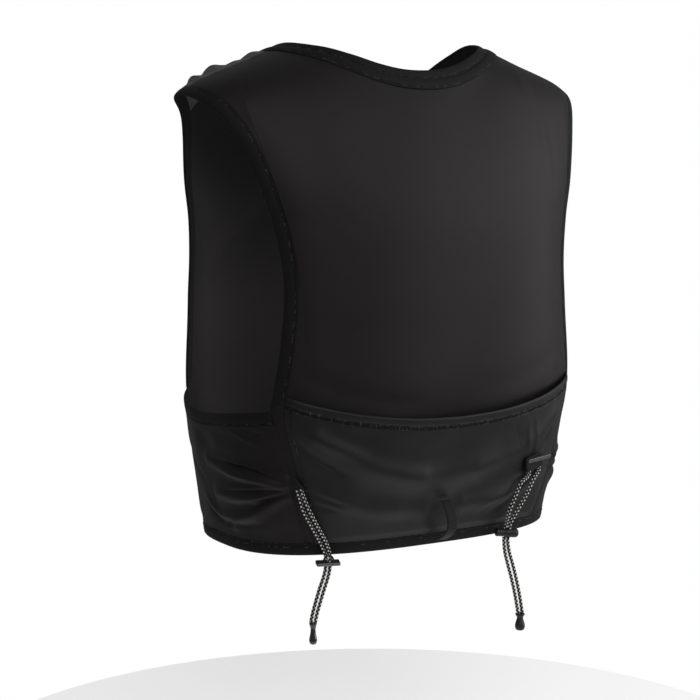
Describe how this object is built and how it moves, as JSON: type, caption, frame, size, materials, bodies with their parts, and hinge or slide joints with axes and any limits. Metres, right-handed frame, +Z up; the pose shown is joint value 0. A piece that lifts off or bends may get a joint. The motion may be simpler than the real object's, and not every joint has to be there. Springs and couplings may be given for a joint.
{
  "type": "running hydration vest",
  "caption": "Close sleeveless running vest with bound armholes, a back pocket, a pole loop and elastic cords that hold folded poles.",
  "frame": {"origin": "between the shoulders, at the middle of both shoulder straps, where the worn vest sits", "axes": "+X to the wearer's left, +Y to the wearer's back, +Z up"},
  "size_m": [0.373, 0.2456, 0.4989],
  "materials": {
    "stretch_cloth": "smooth black stretch knit with a soft sheen",
    "pocket_cloth": "black stretch knit, a little lighter",
    "binding_cloth": "matte black folded cloth",
    "shoulder_mesh": "dark grey open mesh",
    "webbing": "matte black ribbed tape",
    "elastic_cord": "braided black elastic with pale flecks",
    "matte_fittings": "matte black",
    "gloss_fittings": "glossy black"
  },
  "bodies": {
    "root": {"back_panel": "stretch_cloth", "front_panel_left": "stretch_cloth", "front_panel_right": "stretch_cloth", "side_panel_left": "stretch_cloth", "side_panel_right": "stretch_cloth", "back_pocket": "pocket_cloth", "armhole_binding_left": "binding_cloth", "armhole_binding_right": "binding_cloth", "underarm_binding_left": "binding_cloth", "underarm_binding_right": "binding_cloth", "neck_band_inner": "binding_cloth", "neck_band_outer": "binding_cloth", "hem_band": "binding_cloth", "pocket_hem": "binding_cloth", "bungee_anchor_left": "binding_cloth", "bungee_anchor_right": "binding_cloth", "shoulder_mesh_left": "shoulder_mesh", "shoulder_mesh_right": "shoulder_mesh", "sternum_strap_upper_left": "webbing", "sternum_strap_upper_right": "webbing", "sternum_strap_lower_left": "webbing", "sternum_strap_lower_right": "webbing", "pole_loop_center": "webbing", "bungee_left_a": "elastic_cord", "bungee_left_b": "elastic_cord", "bungee_right_a": "elastic_cord", "bungee_right_b": "elastic_cord", "cord_tail_left_a": "elastic_cord", "cord_tail_left_b": "elastic_cord", "cord_tail_right_a": "elastic_cord", "cord_tail_right_b": "elastic_cord", "sternum_clasp_upper": "matte_fittings", "sternum_clasp_lower": "matte_fittings", "cord_lock_left": "matte_fittings", "cord_lock_right": "matte_fittings", "cord_end_right": "matte_fittings", "cord_end_left": "gloss_fittings"}
  },
  "joints": []
}
